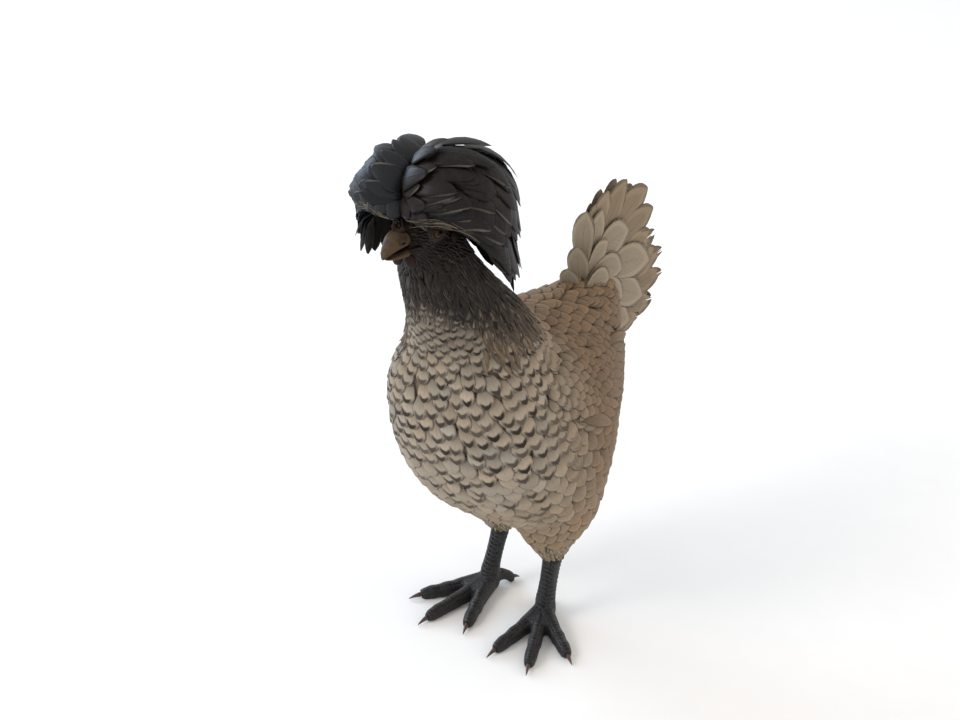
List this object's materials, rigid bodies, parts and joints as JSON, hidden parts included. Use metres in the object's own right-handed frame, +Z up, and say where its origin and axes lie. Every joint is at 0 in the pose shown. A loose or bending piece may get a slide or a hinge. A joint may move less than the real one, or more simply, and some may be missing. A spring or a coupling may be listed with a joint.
{
  "type": "polish crested hen",
  "caption": "Life-size crested hen standing still on both feet: domed parted crest, upright tail fan, folded wings, dark head and shanks, pale body with scalloped breast.",
  "frame": {"origin": "on the floor, under the middle of the bird's bounding box", "axes": "+Z up, -Y the way the bird faces, +X its left side"},
  "size_m": [0.1434, 0.346, 0.3868],
  "materials": {
    "pale_plumage": "matte taupe breast and body feathers with dark tips on the breast",
    "dark_plumage": "matte brown-black face and neck hackle",
    "crest_plumage": "near-black crest feathers with a faint sheen",
    "wing_plumage": "taupe wing feathers with darker shafts",
    "tail_plumage": "pale greige tail feathers",
    "horn": "horn-brown beak",
    "comb_skin": "small dull red-brown comb",
    "lobe_skin": "dark mauve wattles and lobes",
    "eye": "wet brown eye with a dark pupil",
    "leg_scale": "slate-black scaled shanks and toes",
    "claw_horn": "dark reddish-brown claws"
  },
  "bodies": {
    "root": {"beak_lower": "horn", "beak_upper": "horn", "claw_left_hind": "claw_horn", "claw_left_inner": "claw_horn", "claw_left_middle": "claw_horn", "claw_left_outer": "claw_horn", "claw_right_hind": "claw_horn", "claw_right_inner": "claw_horn", "claw_right_middle": "claw_horn", "claw_right_outer": "claw_horn", "comb": "comb_skin", "crest_left": "crest_plumage", "crest_right": "crest_plumage", "earlobe_left": "lobe_skin", "earlobe_right": "lobe_skin", "eye_left": "eye", "eye_right": "eye", "foot_left": "leg_scale", "foot_right": "leg_scale", "head": "dark_plumage", "neck": "dark_plumage", "shank_left": "leg_scale", "shank_right": "leg_scale", "tail": "tail_plumage", "thigh_left": "pale_plumage", "thigh_right": "pale_plumage", "toe_left_hind": "leg_scale", "toe_left_inner": "leg_scale", "toe_left_middle": "leg_scale", "toe_left_outer": "leg_scale", "toe_right_hind": "leg_scale", "toe_right_inner": "leg_scale", "toe_right_middle": "leg_scale", "toe_right_outer": "leg_scale", "torso": "pale_plumage", "wattle_left": "lobe_skin", "wattle_right": "lobe_skin", "wing_left": "wing_plumage", "wing_right": "wing_plumage"}
  },
  "joints": []
}
